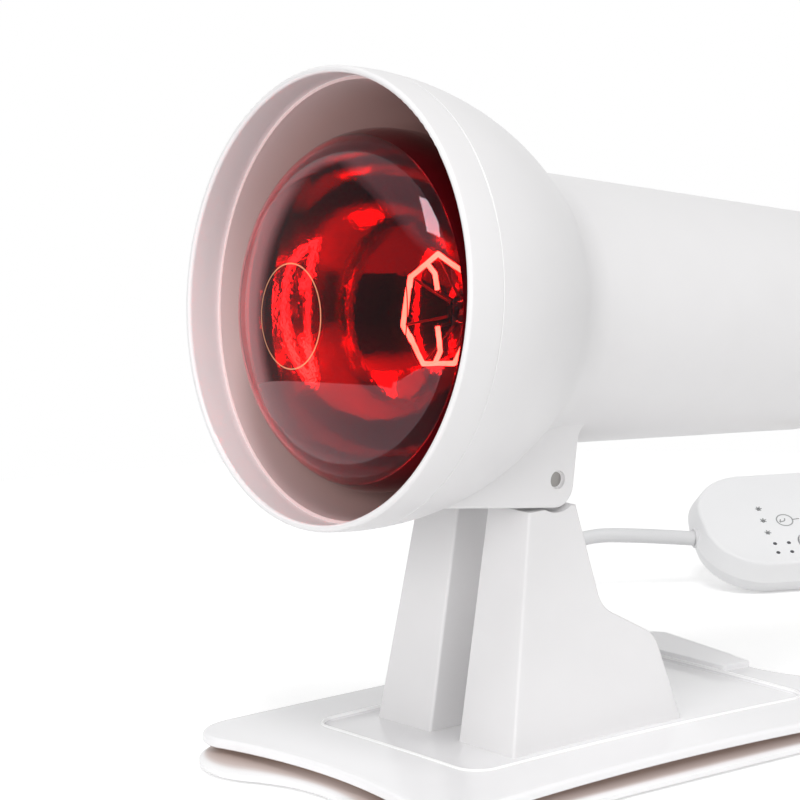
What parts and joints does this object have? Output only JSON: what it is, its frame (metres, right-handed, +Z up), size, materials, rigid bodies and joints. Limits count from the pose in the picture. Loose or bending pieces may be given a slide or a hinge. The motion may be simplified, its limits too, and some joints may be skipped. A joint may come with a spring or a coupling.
{
  "type": "infrared heat therapy lamp",
  "caption": "Table-top infrared heat lamp: a reflector bulb in a tilting bowl-shaped head on a slotted stand and flat base, with an in-line hand controller on its mains lead.",
  "frame": {"origin": "On the floor, under the middle of the lamp's own bounding box (the free lead and what is on it left out).", "axes": "+Z up; the lamp faces -Y, its base's long side lies along Y, and the tilt hinge's pin lies along X, with +X to the right of someone who faces the lamp."},
  "size_m": [0.1983, 0.3949, 0.1894],
  "materials": {
    "front_ring": "satin white",
    "head_housing": "satin white",
    "rear_cap": "satin white",
    "rear_cap_screws": "zinc plated",
    "hinge_pin": "plain",
    "friction_washers": "matt",
    "bulb_dome": "ruby, clear gloss",
    "bulb_bowl": "mirrored inside",
    "bulb_screw_cap": "bright",
    "bulb_insulator": "glazed black",
    "bulb_contact": "tinned",
    "bulb_stem": "clear",
    "filament": "glowing",
    "filament_supports": "dull",
    "lamp_holder": "glazed white",
    "holder_shell": "plain",
    "holder_contact": "plain",
    "holder_bracket": "zinc plated",
    "holder_screws": "zinc plated",
    "bracket_screws": "zinc plated",
    "head_lead": "matt",
    "stand_right": "satin white",
    "stand_left": "satin white",
    "hinge_spacer": "matt",
    "stand_screws": "zinc plated",
    "base_top": "gloss white",
    "base_tray": "matt grey",
    "base_feet": "matt black",
    "base_screws": "zinc plated",
    "ballast_plate": "zinc plated",
    "cord_cover": "satin white",
    "strain_relief": "matt light grey",
    "inner_lead": "matt",
    "controller_lower": "matt light grey",
    "controller_upper": "matt light grey",
    "controller_board": "green lacquer",
    "controller_lights": "smoked",
    "controller_screws": "zinc plated",
    "timer_button": "matt light grey",
    "power_button": "matt light grey",
    "controller_inlet": "matt light grey",
    "controller_outlet": "matt light grey",
    "lead_to_controller": "matt light grey",
    "lead_to_coil": "matt light grey",
    "lead_coil": "matt light grey",
    "coil_tie": "matt",
    "lead_to_plug": "matt light grey",
    "plug_body": "matt light grey",
    "plug_pins": "nickel plated",
    "pin_sleeves": "matt"
  },
  "bodies": {
    "stand": {"stand_right": "stand_right", "stand_left": "stand_left", "hinge_spacer": "hinge_spacer", "stand_screws": "stand_screws", "base_top": "base_top", "base_tray": "base_tray", "base_feet": "base_feet", "base_screws": "base_screws", "ballast_plate": "ballast_plate", "cord_cover": "cord_cover", "strain_relief": "strain_relief", "inner_lead": "inner_lead", "controller_lower": "controller_lower", "controller_upper": "controller_upper", "controller_board": "controller_board", "controller_lights": "controller_lights", "controller_screws": "controller_screws", "controller_inlet": "controller_inlet", "controller_outlet": "controller_outlet", "lead_to_controller": "lead_to_controller", "lead_to_coil": "lead_to_coil", "lead_coil": "lead_coil", "coil_tie": "coil_tie", "lead_to_plug": "lead_to_plug", "plug_body": "plug_body", "plug_pins": "plug_pins", "pin_sleeves": "pin_sleeves"},
    "head": {"front_ring": "front_ring", "head_housing": "head_housing", "rear_cap": "rear_cap", "rear_cap_screws": "rear_cap_screws", "hinge_pin": "hinge_pin", "friction_washers": "friction_washers", "bulb_dome": "bulb_dome", "bulb_bowl": "bulb_bowl", "bulb_screw_cap": "bulb_screw_cap", "bulb_insulator": "bulb_insulator", "bulb_contact": "bulb_contact", "bulb_stem": "bulb_stem", "filament": "filament", "filament_supports": "filament_supports", "lamp_holder": "lamp_holder", "holder_shell": "holder_shell", "holder_contact": "holder_contact", "holder_bracket": "holder_bracket", "holder_screws": "holder_screws", "bracket_screws": "bracket_screws", "head_lead": "head_lead"},
    "timer_button": {"timer_button": "timer_button"},
    "power_button": {"power_button": "power_button"}
  },
  "joints": [
    {"name": "head_tilt", "type": "hinge", "parent": "stand", "child": "head", "pos_m": [0, -0.02417, 0.0794], "axis": [-1, 0, 0], "range_deg": [-3, 35]},
    {"name": "timer_press", "type": "slide", "parent": "stand", "child": "timer_button", "axis": [-0.4532, 0.2113, -0.866], "range_m": [0, 0.0008], "stiffness_N_per_m": 600, "springref_m": -0.0008},
    {"name": "power_press", "type": "slide", "parent": "stand", "child": "power_button", "axis": [-0.4532, 0.2113, -0.866], "range_m": [0, 0.0008], "stiffness_N_per_m": 600, "springref_m": -0.0008}
  ]
}
